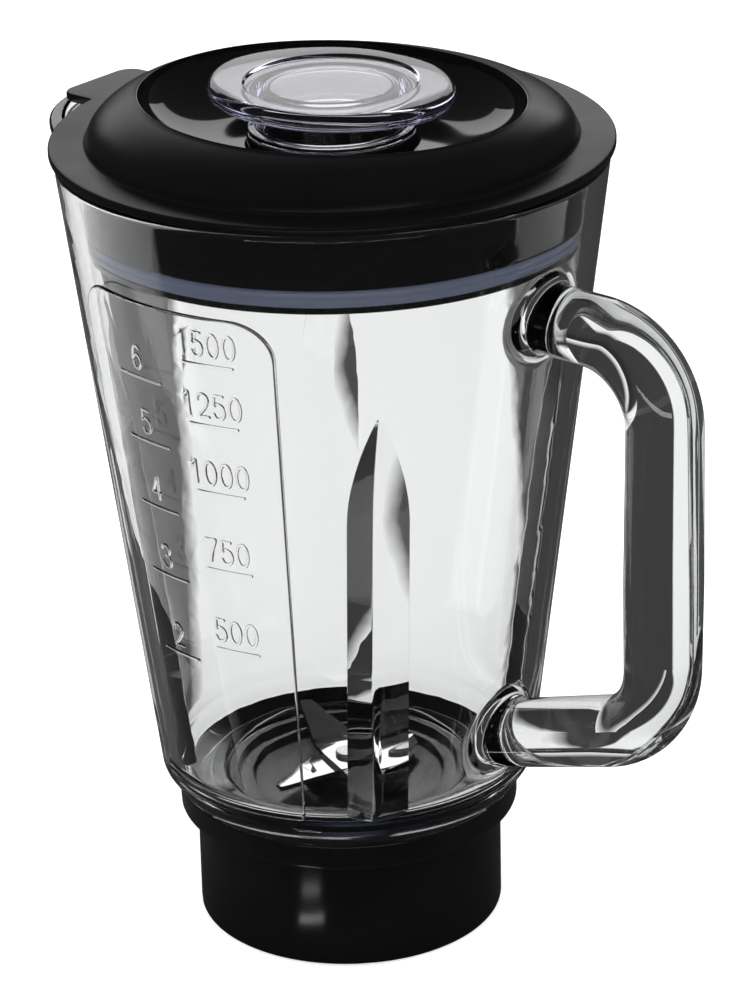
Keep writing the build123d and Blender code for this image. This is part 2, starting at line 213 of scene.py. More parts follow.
# Glass jar: a cone of even wall with a screw neck, a pouring lip, four inner ribs and a fused handle
jar = {
    "wall": 5.0, "top": 231.7, "rimRadius": 76.4, "rimRound": 1.8,
    "heelRadius": 53.8, "heelHeight": 48.0, "heelRound": 3.5,
    "footRadius": 49.4, "footHeight": 41.4, "footRound": 1.2,
    "neckRadius": 41.2, "neckBore": 35.5, "neckBottom": 24.0, "neckRound": 0.8, "neckFillet": 0.6,
    "floorHeight": 45.5, "floorRise": 4.5, "floorRound": 8.0, "floorEdge": 2.0,
    "spoutReach": 92.0, "spoutRadius": 40.0, "spoutLowRadius": 33.0, "spoutDrop": 42.0, "spoutSink": 0.6,
    "spoutBlend": 9.0, "around": 288, "sharp": 30.0,
}
handle = {
    "reach": 111.4, "gripThick": 21.0, "gripWide": 23.0, "barThick": 18.5, "barWide": 22.0,
    "topHeight": 197.5, "topFall": 1.0, "lowHeight": 69.0, "lowRise": 17.5, "bendTop": 23.0, "bendLow": 25.0,
    "sink": 9.0, "rootRound": 5.5, "rootLift": 0.02, "rootSink": 1.6,
    "sides": 64, "rows": 150, "lineRows": 260, "rootRows": 14,
}
ribs = {
    "angles": (41.0, -41.0, 132.5, -132.5), "width": 16.5, "depth": 4.6, "edge": 1.2, "ridge": 1.4, "soft": 0.25,
    "bottom": 44.9, "top": 178.0, "lancet": 33.0, "point": 1.9, "fade": 1.15, "sink": 2.0,
    "wallRows": 24, "tipRows": 30, "tipShare": 0.01,
}
panel = {
    "middle": -90.0, "halfAngle": 27.0, "top": 206.5, "bottom": 51.5, "raise": 0.75, "sink": 1.5,
    "corner": 11.0, "lowCorner": 2.0, "edge": 0.7, "rings": 24, "edgeRings": 5, "shrink": (0.985, 0.995),
}
marks = {
    "litre": ((192.5, "1500"), (174.4, "1250"), (153.8, "1000"), (129.8, "750"), (104.6, "500")),
    "litreSpan": (-84.5, -72.5),
    "cup": ((183.6, "6"), (164.3, "5"), (144.3, "4"), (123.2, "3"), (98.6, "2")),
    "cupSpan": (-104.5, -91.5),
    "digitHeight": 6.8, "digitWidth": 3.5, "digitPitch": 4.7, "digitLift": 2.6,
    "stroke": 0.95, "litreRelief": 0.17, "cupRelief": 0.3, "lift": 0.02, "sink": 0.5,
    "lineRows": 24, "loopRows": 28, "arcRows": 6, "tipTurns": (35.0, 65.0, 85.0),
}
slope = (jar["rimRadius"] - jar["heelRadius"]) / (jar["top"] - jar["heelHeight"])


def coneRadius(z):
    return jar["rimRadius"] - slope * (jar["top"] - z)


def spoutRay(away, z, inset):
    # distance from the axis to a leaning circle, along a plan direction that is `away` from the spout's own
    low = jar["top"] - jar["spoutDrop"]
    share = (z - low) / jar["spoutDrop"]
    lowReach = coneRadius(low) - jar["spoutLowRadius"] - jar["spoutSink"]
    middle = lowReach + (jar["spoutReach"] - jar["spoutRadius"] - lowReach) * share
    radius = jar["spoutLowRadius"] + (jar["spoutRadius"] - jar["spoutLowRadius"]) * share - inset
    inside = radius ** 2 - (middle * np.sin(away)) ** 2
    hit = middle * np.cos(away) + np.sqrt(np.maximum(inside, 0))
    return np.where((inside > 0) & (np.cos(away) > 0) & (share > 0), hit, 0.0)


def softMax(a, b, width):
    # the larger of two lengths, with the crease between them filled over a width
    near = np.maximum(width - np.abs(a - b), 0) / width
    return np.maximum(a, b) + near * near * width / 4


def makeJarBody():
    # closed wall profile turned about Z; in its upper part each radius is carried out to the pouring lip
    corner = jar["floorHeight"] + jar["floorRise"]
    wall = jar["wall"]
    path = profile(
        jar, ("neckBore", "neckBottom"), ("neckRadius", "neckBottom", "neckRound"),
        ("neckRadius", "footHeight", "neckFillet"), ("footRadius", "footHeight", "footRound"),
        ("heelRadius", "heelHeight", "heelRound"), ("rimRadius", "top", "rimRound"),
        (jar["rimRadius"] - wall, "top", "rimRound"), (coneRadius(corner) - wall, corner, "floorRound"),
        ("neckBore", "floorHeight", "floorEdge"), steps=10, longest=3.4)
    around = fullTurn(jar["around"])
    away = (around - np.pi)[None, :]
    r, z = path[:, :1], path[:, 1:]
    bore = coneRadius(z) - wall
    depth = (r - bore) / wall
    outer = softMax(coneRadius(z), spoutRay(away, z, 0.0), jar["spoutBlend"])
    inner = softMax(bore, spoutRay(away, z, wall), jar["spoutBlend"])
    carried = inner + depth * (outer - inner)
    upper = z > jar["top"] - jar["spoutDrop"] - 1
    radius = np.where(upper, carried, r + 0 * away)
    return meshFromRows("glassJar", turned(radius, z, around))


def handleLine(count):
    # middle line of the bar in the plane y = 0: straight, bend, straight, bend, straight
    sink, top, low = handle["sink"], handle["topHeight"], handle["lowHeight"]
    fall = handle["lowRise"] / (handle["reach"] - coneRadius(low))
    path = profile(
        handle, (coneRadius(top) - sink, top), ("reach", top - handle["topFall"], "bendTop"),
        ("reach", low + handle["lowRise"], "bendLow"), (coneRadius(low) - sink, low - sink * fall),
        steps=60, longest=1.0, close=False)
    walked = np.concatenate([[0], np.cumsum(np.linalg.norm(np.diff(path, axis=0), axis=1))])
    t = np.linspace(0, walked[-1], count)
    return np.stack([np.interp(t, walked, path[:, k]) for k in (0, 1)], 1), t / walked[-1], walked[-1]


def makeHandle():
    # ellipse carried along the bar; at each root a curve runs from the cone to the bar and is tangent to both
    line, share, length = handleLine(handle["lineRows"])
    ahead = unit(np.gradient(line, axis=0))
    v = fullTurn(handle["sides"])

    def barPoint(at):
        x, z = (np.interp(at, share, line[:, k]) for k in (0, 1))
        runX, runZ = (np.interp(at, share, ahead[:, k]) for k in (0, 1))
        grip = 1 - np.abs(2 * at - 1)
        thick = (handle["barThick"] + (handle["gripThick"] - handle["barThick"]) * grip) / 2 * np.sin(v)
        wide = (handle["barWide"] + (handle["gripWide"] - handle["barWide"]) * grip) / 2 * np.cos(v)
        return np.stack([x - runZ * thick, wide, z + runX * thick], -1)

    tube = barPoint(share[:, None] + 0 * v)
    outside = np.hypot(tube[..., 0], tube[..., 1]) - coneRadius(tube[..., 2])
    cols = np.arange(len(v))
    roots = []
    for order, way in ((slice(None), 1), (slice(None, None, -1), -1)):
        gap, along = outside[order], share[order]
        first = np.argmax(gap > 0, axis=0)
        part = gap[first, cols] / (gap[first, cols] - gap[first - 1, cols])
        at = along[first] + (along[first - 1] - along[first]) * part
        hit = barPoint(at)
        skin = unit(np.stack([hit[:, 0], hit[:, 1], -slope * np.hypot(hit[:, 0], hit[:, 1])], -1))
        out = hit - hit.mean(0)
        out = unit(out - skin * np.einsum("ij,ij->i", out, skin)[:, None])
        foot = hit + out * handle["rootRound"]
        plan = np.hypot(foot[:, 0], foot[:, 1])
        foot[:, :2] *= ((coneRadius(foot[:, 2]) + handle["rootLift"]) / plan)[:, None]
        joinAt = at + way * handle["rootRound"] / length
        t = np.linspace(0, 1, handle["rootRows"])[:, None, None]
        flare = (1 - t) ** 2 * foot + 2 * t * (1 - t) * hit + t ** 2 * barPoint(joinAt)
        roots.append(((foot - skin * handle["rootSink"])[None], flare, joinAt))
    (startFoot, startFlare, startAt), (endFoot, endFlare, endAt) = roots
    bar = barPoint(startAt + (endAt - startAt) * np.linspace(0, 1, handle["rows"])[1:-1, None])
    rows = closeEnds(np.concatenate([startFoot, startFlare, bar, endFlare[::-1], endFoot]))
    return meshFromRows("handleBar", rows, loop=False)


def makeRib(angle):
    # roof section, two flat faces and a narrow flat ridge, carried up the inside of the cone;
    # near its top it narrows to a lancet point
    start = ribs["top"] - ribs["lancet"]
    z = np.concatenate([
        np.linspace(ribs["bottom"], start, ribs["wallRows"], endpoint=False),
        start + ribs["lancet"] * np.sin(np.linspace(0, np.pi / 2, ribs["tipRows"]))])[:, None]
    rise = np.clip((z - start) / ribs["lancet"], 0, 1)
    size = np.maximum(1 - rise ** ribs["point"], ribs["tipShare"])
    ridge = ribs["ridge"] / ribs["width"]
    # shares of the half width, close together where the ridge turns into the face
    half = np.concatenate([[0.0, 0.4 * ridge], ridge + np.linspace(-0.5, 2.0, 9) * ridge, [0.4, 0.6, 0.8, 0.93, 1.0]])
    t = np.concatenate([-half[:0:-1], half])[None, :]
    face = ribs["edge"] + (ribs["depth"] - ribs["edge"]) * (1 - np.abs(t)) / (1 - ridge)
    roof = -softMax(-face, -ribs["depth"], ribs["soft"])
    across = np.concatenate([t, [[1.0, -1.0]]], 1) * ribs["width"] / 2 * size
    inward = np.concatenate([roof * size ** ribs["fade"], np.full((len(z), 2), -ribs["sink"])], 1)
    rows = closeEnds(swung(coneRadius(z) - jar["wall"] - inward, across, z, angle))
    return meshFromRows("rib", rows, loop=False)


def onCone(angle, z, lift):
    # a point on the cone's skin, or above it by a lift: ((r + lift) cos a, (r + lift) sin a, z)
    radius = coneRadius(z) + lift
    return np.stack([radius * np.cos(angle), radius * np.sin(angle), z], -1)


def makePanel():
    # rounded window in plan angle and height, drawn as rings that shrink to its middle, on the skin and under it
    half, count = math.radians(panel["halfAngle"]), panel["rings"]
    inner, outer = panel["shrink"]
    middleZ = (panel["top"] + panel["bottom"]) / 2
    size = np.array([half * coneRadius(middleZ), (panel["top"] - panel["bottom"]) / 2])
    corners = ((-1, -1, "lowCorner"), (1, -1, "lowCorner"), (1, 1, "corner"), (-1, 1, "corner"))
    ring = roundedPath([(a * size[0], b * size[1], panel[key]) for a, b, key in corners], steps=12, longest=4.0)
    flat = ring[None] * np.append(np.linspace(0, inner, count), outer)[:, None, None]
    edge = np.linspace(0, np.pi / 2, panel["edgeRings"])
    rim = np.stack([ring * (1 - gap / size) for gap in panel["edge"] * (1 - np.sin(edge))])
    lifts = np.concatenate([
        np.full(count + 1, panel["raise"]), panel["raise"] - panel["edge"] * (1 - np.cos(edge)),
        np.full(count + 1, -panel["sink"])])
    sheet = np.concatenate([flat, rim, ring[None], flat[:count][::-1]])
    angle = math.radians(panel["middle"]) + sheet[..., 0] / size[0] * half
    rows = onCone(angle, middleZ + sheet[..., 1], lifts[:, None])
    return meshFromRows("scalePanel", rows, loop=False)


# Plain figures as strokes in a unit box; a second stroke of one figure is cast in a later step
figureStrokes = {
    "1": [[(0.16, 0.78), (0.42, 0.9), (0.58, 1.0), (0.58, 0.66), (0.58, 0.33), (0.58, 0.0)]],
    "2": [[(0.06, 0.72), (0.14, 0.9), (0.48, 1.0), (0.84, 0.9), (0.93, 0.7), (0.8, 0.48), (0.42, 0.22),
           (0.08, 0.0), (0.5, 0.0), (0.95, 0.0)]],
    "3": [[(0.06, 0.8), (0.2, 0.95), (0.5, 1.0), (0.8, 0.93), (0.88, 0.75), (0.74, 0.58), (0.46, 0.53),
           (0.78, 0.47), (0.94, 0.27), (0.82, 0.07), (0.5, 0.0), (0.2, 0.05), (0.04, 0.22)]],
    "4": [[(0.72, 0.0), (0.72, 0.5), (0.72, 1.0), (0.38, 0.65), (0.04, 0.3)], [(0.04, 0.3), (0.5, 0.3), (0.98, 0.3)]],
    "5": [[(0.88, 1.0), (0.55, 1.0), (0.2, 1.0), (0.15, 0.78), (0.1, 0.54), (0.3, 0.63), (0.55, 0.64),
           (0.84, 0.54), (0.95, 0.32), (0.84, 0.09), (0.5, 0.0), (0.2, 0.04), (0.04, 0.2)]],
    "7": [[(0.04, 1.0), (0.5, 1.0), (0.95, 1.0), (0.66, 0.55), (0.48, 0.25), (0.38, 0.0)]],
}


def strokeCurve(points, per=5):
    # smooth curve through its points, by the uniform Catmull-Rom formula
    p = np.array(points, float)
    p = np.concatenate([2 * p[:1] - p[1:2], p, 2 * p[-1:] - p[-2:-1]])
    t = np.linspace(0, 1, per, endpoint=False)[None, :, None]
    a, b, c, d = (p[k:len(p) - 3 + k, None] for k in range(4))
    curve = 0.5 * (2 * b + (c - a) * t + (2 * a - 5 * b + 4 * c - d) * t ** 2 + (3 * b - a - 3 * c + d) * t ** 3)
    return np.concatenate([curve.reshape(-1, 2), p[-2:-1]])


def figureCurves(figure):
    # closed strokes and first strokes of a figure, and those that are cast later
    turn = fullTurn(marks["loopRows"])
    if figure == "0":
        return [(np.stack([0.5 + 0.45 * np.cos(turn), 0.5 + 0.5 * np.sin(turn)], 1), True)], []
    if figure == "6":
        bowl = np.stack([0.5 + 0.44 * np.cos(turn), 0.31 + 0.31 * np.sin(turn)], 1)
        stem = strokeCurve([(0.06, 0.3), (0.1, 0.6), (0.26, 0.87), (0.55, 1.0), (0.86, 0.9)])
        return [(bowl, True)], [(stem, False)]
    curves = [(strokeCurve(s), False) for s in figureStrokes[figure]]
    return curves[:1], curves[1:]


def ridgeRows(curve, closed, relief):
    # low half-round ridge along a curve of plan angles and heights on the panel's skin
    spots = onCone(curve[:, 0], curve[:, 1], panel["raise"])
    ahead = unit(np.roll(spots, -1, 0) - np.roll(spots, 1, 0) if closed else np.gradient(spots, axis=0))
    skin = unit(np.stack([np.cos(curve[:, 0]), np.sin(curve[:, 0]), np.full(len(curve), -slope)], -1))
    side = np.cross(ahead, skin)
    a = np.linspace(0, np.pi, marks["arcRows"])
    across = np.concatenate([np.cos(a), [-1.0, 1.0]]) * marks["stroke"] / 2
    lift = np.concatenate([np.sin(a) * relief + marks["lift"], np.full(2, -marks["sink"])])
    rows = spots[:, None] + side[:, None] * across[:, None] + skin[:, None] * lift[:, None]
    if closed:
        return rows

    def tip(k, way):
        # round end: rows that shrink to the stroke's end
        turn = np.radians(marks["tipTurns"])
        reach = way * marks["stroke"] / 2 * np.sin(turn)
        shrink = np.cos(turn)[:, None]
        lifts = np.where(lift > 0, lift * shrink, lift)
        body = spots[k] + side[k] * across[:, None] * shrink[..., None]
        return body + skin[k] * lifts[..., None] + ahead[k] * reach[:, None, None]

    return closeEnds(np.concatenate([tip(0, -1)[::-1], rows, tip(-1, 1)]))


def addWord(sets, word, middle, z, relief):
    # figures side by side above their line, shared out over both sets
    height, width, pitch = marks["digitHeight"], marks["digitWidth"], marks["digitPitch"]
    base = z + marks["digitLift"]
    start = -(pitch * (len(word) - 1) + width) / 2
    for k, figure in enumerate(word):
        for chosen, curves in zip(sets, figureCurves(figure)):
            for curve, closed in curves:
                along = start + k * pitch + curve[:, 0] * width
                up = base + curve[:, 1] * height
                angle = math.radians(middle) + along / coneRadius(base)
                chosen.append((np.stack([angle, up], 1), closed, relief))


def makeMarks():
    # lines and figures of both scales, in two sets so that strokes of one figure never meet in one mesh
    sets = ([], [])
    for scale in ("litre", "cup"):
        span, relief = marks[scale + "Span"], marks[scale + "Relief"]
        angles = np.radians(np.linspace(*span, marks["lineRows"]))
        for z, word in marks[scale]:
            sets[0].append((np.stack([angles, 0 * angles + z], 1), False, relief))
            addWord(sets, word, sum(span) / 2, z, relief)
    made = []
    for k, curves in enumerate(sets):
        parts = [rowFaces(ridgeRows(curve, closed, relief), closed) for curve, closed, relief in curves]
        starts = np.cumsum([0] + [len(part[0]) for part in parts])
        points = np.concatenate([part[0] for part in parts])
        quads, fans = (np.concatenate([part[n] + start for part, start in zip(parts, starts)]) for n in (1, 2))
        made.append(newPiece(f"marks{k}", points, quads, fans))
    return made


glassJar = makeJarBody()
unite(glassJar, [makeHandle(), makePanel()] + [makeRib(a) for a in ribs["angles"]] + makeMarks())
smoothShade(glassJar.data, jar["sharp"])
print("glass jar:", len(glassJar.data.polygons), "faces")


# Lid: flange with a spout tab, dome that turns from round to oval, glossy bowl, filler tube and grooved skirt
lid = {
    "radius": 77.5, "bottom": 232.0, "thick": 2.4, "wall": 2.2, "edge": 0.7, "edgeLand": 0.4,
    "domeRadius": 67.4, "crestLong": 56.3, "crestWide": 49.5, "crestRise": 11.2, "crestLand": 0.7,
    "crestDrop": 0.25, "crestInset": 0.35, "mouthInset": 0.1, "mouthDrop": 0.05, "crestAngle": 64.0, "backAngle": 70.5,
    "footRound": 1.3, "footInset": 0.15, "footSkip": 0.5, "flatOuter": 72.5, "flatInner": 71.0,
    "bowlRadius": 28.0, "bowlDepth": 13.6, "fillerRoot": 2.5,
    "fillerBore": 21.3, "fillerWall": 2.0, "fillerTop": 236.0, "fillerBottom": 210.0,
    "tabReach": 88.3, "tabWidth": 29.0, "tabCorner": 5.0,
    "skirtRadius": 68.75, "skirtInner": 62.52, "lipRadius": 67.92, "grooveRadius": 65.52,
    "skirtBottom": 215.0, "sealBottom": 210.2, "lipBottom": 208.3, "around": 288,
    "edgeRows": 15, "domeRows": 18, "bowlRows": 22, "underRows": 16, "backRows": 14,
    "bowlStart": 0.06, "underStart": 0.05,
    # radians with close steps before and after each corner of the tab, and radians between two sets of steps
    "beforeCorner": 0.04, "afterCorner": 0.02, "betweenSteps": 0.005, "cornerRows": 12, "tabRows": 20,
}


def tabOutline(around):
    # distance from the axis to the flange's edge: a circle, with a straight-sided tab round the spout direction
    away = np.abs(around % (2 * np.pi) - np.pi)
    half, reach, corner = lid["tabWidth"] / 2, lid["tabReach"], lid["tabCorner"]
    safe = np.maximum(away, 1e-4)
    x, y = reach / np.cos(np.minimum(away, 1.2)), half / np.sin(safe)
    flat = np.minimum(x, y)
    cx, cy = reach - corner, half - corner
    along = cx * np.cos(away) + cy * np.sin(away)
    off = cx * np.sin(away) - cy * np.cos(away)
    arc = along + np.sqrt(np.maximum(corner ** 2 - off ** 2, 0))
    px, py = flat * np.cos(away), flat * np.sin(away)
    rounded = np.where((px > cx) & (py > cy), arc, flat)
    return np.where(away < math.asin(half / lid["radius"]), np.maximum(rounded, lid["radius"]), lid["radius"])


def lidAngles():
    # even steps round the axis, with close ones along the tab and at its two corners
    half = math.asin(lid["tabWidth"] / 2 / lid["radius"])
    start, end, gap = half - lid["beforeCorner"], half + lid["afterCorner"], lid["betweenSteps"]
    corner = np.linspace(start, end, lid["cornerRows"])
    tab = np.linspace(gap - start, start - gap, lid["tabRows"])
    even = fullTurn(lid["around"])
    even = even[np.abs(even - np.pi) > end + gap]
    return np.sort(np.concatenate([even, np.pi - corner, np.pi + tab, np.pi + corner]))


def makeLid():
    # rows of ovals: half axes along X and Y, and a height, followed from the flange over the dome into the bowl,
    # down the filler, back under the bowl and dome, and round the skirt
    radius, bottom, edge, wall, foot = (lid[k] for k in ("radius", "bottom", "edge", "wall", "footRound"))
    dome, bowl, dipDepth = (lid[k] for k in ("domeRadius", "bowlRadius", "bowlDepth"))
    top = bottom + lid["thick"]
    crest = top + lid["crestRise"]
    floor = crest - dipDepth
    oval = np.array([lid["crestLong"], lid["crestWide"]])
    mouth = oval - lid["crestLand"]
    quarter = np.linspace(0, np.pi / 2, lid["edgeRows"])
    rows = []

    def add(axes, z, gloss, tab=0.0):
        # axes hold one radius for each row, or two half axes; tab is the share of the spout tab in its outline
        axes = np.asarray(axes, float)
        row = np.zeros((len(axes), 5))
        row[:, :2] = axes if axes.ndim == 2 else axes[:, None]
        row[:, 2], row[:, 3], row[:, 4] = z, gloss, tab
        rows.append(row)

    turn = quarter[::3]
    add(radius - edge * (1 - np.cos(turn)), top - edge + edge * np.sin(turn), 0, 1)
    add([radius - edge - lid["edgeLand"]], top, 0, 1)
    add([lid["flatOuter"], lid["flatInner"]], top, 0)
    turn = quarter[1::2]
    add(dome + foot * (1 - np.sin(turn)) - lid["footInset"], top + foot * (1 - np.cos(turn)), 0)
    last = math.radians(lid["crestAngle"])
    climb = (lid["crestRise"] - lid["crestDrop"]) / math.sin(last)
    swell = np.linspace(math.asin((foot + lid["footSkip"]) / climb), last, lid["domeRows"])
    share = (1 - np.cos(swell)) / (1 - math.cos(last))
    add(dome - (dome - oval) * share[:, None], top + climb * np.sin(swell), 0)
    add([oval - lid["crestInset"]], crest, 0)
    add([mouth + lid["mouthInset"]], crest - lid["mouthDrop"], 1)
    dip = np.linspace(lid["bowlStart"], np.pi / 2, lid["bowlRows"])
    add(bowl + (mouth - bowl) * np.cos(dip)[:, None], crest - dipDepth * np.sin(dip), 1)
    outer = lid["fillerBore"] + lid["fillerWall"]
    tube = profile(
        lid, (outer + lid["fillerRoot"], floor), (outer, floor, 0.8), (outer, "fillerTop", 0.7),
        ("fillerBore", "fillerTop", 0.7), ("fillerBore", "fillerBottom", 0.5), (outer, "fillerBottom", 0.5),
        (outer, floor - wall, 0.8), (bowl, floor - wall), close=False)
    add(tube[:, 0], tube[:, 1], 1)
    under = np.linspace(np.pi / 2 - lid["underStart"], 0.0, lid["underRows"])[:-1]
    add(bowl + wall + (mouth - bowl) * np.cos(under)[:, None], crest - wall - dipDepth * np.sin(under), 1)
    back = np.linspace(math.radians(lid["backAngle"]), 0, lid["backRows"])
    share = 1 - np.cos(back)
    add(dome - wall - (dome - oval) * share[:, None], top - wall + lid["crestRise"] * np.sin(back), 1)
    skirt = profile(
        lid, (dome - wall, bottom), ("skirtInner", bottom, 0.6), ("skirtInner", "lipBottom", 0.6),
        ("lipRadius", "lipBottom", 0.6), ("lipRadius", "sealBottom", 0.4), ("grooveRadius", "sealBottom"),
        ("grooveRadius", "skirtBottom"), ("skirtRadius", "skirtBottom", 0.5), ("skirtRadius", bottom, 0.5),
        ("flatInner", bottom), close=False)
    add(skirt[:, 0], skirt[:, 1], 1)
    add([radius - edge - lid["edgeLand"]], bottom, 0, 1)
    turn = quarter[::3]
    add(radius - edge * (1 - np.sin(turn)), bottom + edge - edge * np.cos(turn), 0, 1)
    long, wide, z, gloss, tab = np.concatenate(rows).T[..., None]
    around = lidAngles()
    grown = (tabOutline(around) - radius) * tab
    grid = np.stack([(long + grown) * np.cos(around), (wide + grown) * np.sin(around), z + 0 * grown], -1)
    piece = meshFromRows("lidShell", grid)
    paintRows(piece, "gloss", gloss[:, 0], len(around))
    return piece


lidShell = makeLid()
print("lid:", len(lidShell.data.polygons), "faces")

# Lid seal: soft ring with a crowned face and a narrow waist along its middle
seal = {
    "inner": 65.6, "outer": 68.45, "bottom": 210.25, "top": 214.95, "crown": 0.55, "waist": 0.25, "waistWidth": 0.16,
    "rows": 25, "around": 256,
}


def makeSeal():
    # closed profile turned about Z: flat back, crowned front
    t = np.linspace(-1, 1, seal["rows"])
    crown = seal["outer"] - seal["crown"] * t ** 4 - seal["waist"] * np.exp(-(t / seal["waistWidth"]) ** 2)
    middle = (seal["top"] + seal["bottom"]) / 2
    z = middle + t * (seal["top"] - seal["bottom"]) / 2
    path = np.concatenate([
        np.stack([crown, z], 1), [[seal["inner"], seal["top"]], [seal["inner"], seal["bottom"]]]])
    return meshFromRows("sealRing", lathe(path, seal["around"]))


sealRing = makeSeal()

# Measuring cap: clear plate with bowed sides, a shallow round recess, and a cup open below
cap = {
    "halfLong": 36.6, "halfWide": 31.2, "sideRadius": 75.0, "cornerBlend": 26.0,
    "top": 249.9, "bottom": 244.9, "flatRadius": 26.0, "recessRadius": 23.4, "recessDepth": 0.8, "recessEdge": 0.8,
    "cupRadius": 20.8, "cupWall": 2.0, "cupBottom": 209.9, "ceiling": 247.1,
    "shoulderRadius": 23.0, "shoulderLow": 236.3, "shoulderHigh": 237.8, "rimRows": 15, "around": 240,
}


def plateOutline(around):
    # four shallow arcs joined by round corners, as a distance from the axis: a soft minimum of both pairs of sides
    def side(half, c, s):
        shift = cap["sideRadius"] - half
        return -shift * np.abs(c) + np.sqrt(cap["sideRadius"] ** 2 - (shift * s) ** 2)
    long = side(cap["halfLong"], np.cos(around), np.sin(around))
    wide = side(cap["halfWide"], np.sin(around), np.cos(around))
    return -softMax(-long, -wide, cap["cornerBlend"])


def makeCap():
    # rows from the middle of the recess over the plate and down the cup, then up inside it
    low, high, bore = cap["bottom"], cap["top"], cap["cupRadius"] - cap["cupWall"]
    floor, edge = high - cap["recessDepth"], cap["recessEdge"]
    flat = profile(
        cap, (0.0, floor), ("recessRadius", floor, 0.35), (cap["recessRadius"] + edge, high, edge),
        ("flatRadius", high), close=False, longest=4.0)
    sweep = np.linspace(0, np.pi, cap["rimRows"])
    depth = (high - low) / 2
    rim = np.stack([-depth + depth * np.sin(sweep), low + depth + depth * np.cos(sweep)], 1)
    rest = profile(
        cap, ("flatRadius", low), ("cupRadius", low, 1.5), ("cupRadius", "shoulderHigh", 0.6),
        ("shoulderRadius", "shoulderHigh", 0.4), ("shoulderRadius", "shoulderLow", 0.4), ("cupRadius", "shoulderLow"),
        ("cupRadius", "cupBottom", 0.7), (bore, "cupBottom", 0.7), (bore, "ceiling", 2.5), (0.0, "ceiling"),
        close=False, longest=4.0)
    around = fullTurn(cap["around"])
    edge = plateOutline(around)[None, :]
    radius = np.concatenate([flat[:, :1] + 0 * edge, rim[:, :1] + edge, rest[:, :1] + 0 * edge])
    z = np.concatenate([flat, rim, rest])[:, 1:]
    return meshFromRows("clearCap", turned(radius, z, around), loop=False)


clearCap = makeCap()
print("cap:", len(clearCap.data.polygons), "faces")

# Base collar: wall and rounded flange outside, ledge and keys inside
base = {
    "radius": 44.2, "bore": 41.6, "height": 41.0, "edge": 1.2, "flangeRadius": 49.0, "flangeBottom": 33.0,
    "flangeRound": 1.4, "ledgeTop": 19.0, "ledgeBottom": 16.0, "ledgeBore": 33.6,
    "keys": (45.0, 135.0, 225.0, 315.0), "keyWidth": 5.0, "keyDepth": 1.4, "keyFlank": 0.006, "keyClear": 0.01,
    "boreMargin": 0.6, "ledgeMargin": 0.1, "around": 256,
}


def makeBase():
    # closed profile turned about Z; the bore below the ledge steps in at each key
    path = profile(
        base, ("bore", 0.0, 0.5), ("radius", 0.0, "edge"), ("radius", "flangeBottom", 0.5),
        ("flangeRadius", "flangeBottom", "flangeRound"), ("flangeRadius", "height", base["flangeRound"] / 2),
        ("bore", "height", 0.5), ("bore", "ledgeTop"), ("ledgeBore", "ledgeTop", 0.4),
        ("ledgeBore", "ledgeBottom", 0.4), ("bore", "ledgeBottom"), longest=5.0)
    keys, flank = np.radians(base["keys"]), base["keyFlank"]
    half = base["keyWidth"] / 2 / base["bore"]

    def fromKey(angles):
        return np.abs(angles[:, None] - keys).min(1)

    around = fullTurn(base["around"])
    steps = keys[:, None] + np.array([-half - flank, -half, half, half + flank])
    around = np.sort(np.concatenate([around[fromKey(around) > half + base["keyClear"]], steps.ravel()]))
    key = np.where(fromKey(around) < half + flank / 2, base["keyDepth"], 0.0)
    below = path[:, 1] < base["ledgeBottom"] - base["ledgeMargin"]
    inBore = below & (path[:, 0] < base["bore"] + base["boreMargin"])
    rows = turned(path[:, :1] - inBore[:, None] * key, path[:, 1:], around)
    return meshFromRows("baseCollar", rows)


baseCollar = makeBase()

# Blade carrier: clamped flange, wall inside the neck, stepped dish and bearing boss
carrier = {
    "flangeRadius": 41.2, "radius": 35.0, "inner": 32.6, "bottom": 19.0, "flangeTop": 21.5, "rim": 44.0,
    "rimInner": 32.2, "stepHigh": 42.3, "stepLow": 40.6, "stepWidth": 3.4, "boss": 11.5, "bossTop": 42.0,
    "bossBottom": 13.0, "sleeve": 9.0, "under": 37.2, "lean": 0.85, "bendRadius": 22.0, "fall": 0.45, "slope": 1.0,
    "around": 224,
}


def makeCarrier():
    # closed profile turned about Z
    lean, slant, boss = carrier["lean"], carrier["slope"], carrier["boss"]
    stepInner = carrier["rimInner"] - lean - carrier["stepWidth"]
    path = profile(
        carrier, ("inner", "bottom"), ("flangeRadius", "bottom", 0.4), ("flangeRadius", "flangeTop", 0.4),
        ("radius", "flangeTop", 0.4), ("radius", "rim", 0.7), ("rimInner", "rim", 0.6),
        (carrier["rimInner"] - lean, "stepHigh", 0.5), (stepInner, "stepHigh", 0.6),
        (stepInner - lean, "stepLow", 0.6), ("bendRadius", carrier["stepLow"] - carrier["fall"], 2.0),
        (boss + 2 * slant, carrier["stepLow"] - slant, 1.2), ("boss", "bossTop", 0.6), ("sleeve", "bossTop"),
        ("sleeve", "bossBottom"), ("boss", "bossBottom", 0.5), ("boss", "under", 1.0),
        ("inner", carrier["under"] + slant, 1.0), longest=5.0)
    return meshFromRows("bladeDish", lathe(path, carrier["around"]))


bladeDish = makeCarrier()

# Blades: bent strips with raked tips and a ground bevel along each leading edge
blades = {
    "thick": 1.5, "hub": 10.0, "width": 12.0, "tipWidth": 4.0, "rakeStart": 13.0, "bevel": 3.4, "edge": 0.3,
    "bend": 2.2, "least": 0.5, "bevelGap": 0.01, "edgeGap": 0.02, "rows": 61, "bendRows": 9, "sharp": 20.0,
    "lower": {"height": 43.6, "wing": 14.0, "lift": -2.0, "turn": 65.0},
    "upper": {"height": 45.1, "wing": 14.5, "lift": 45.0, "turn": -25.0},
}


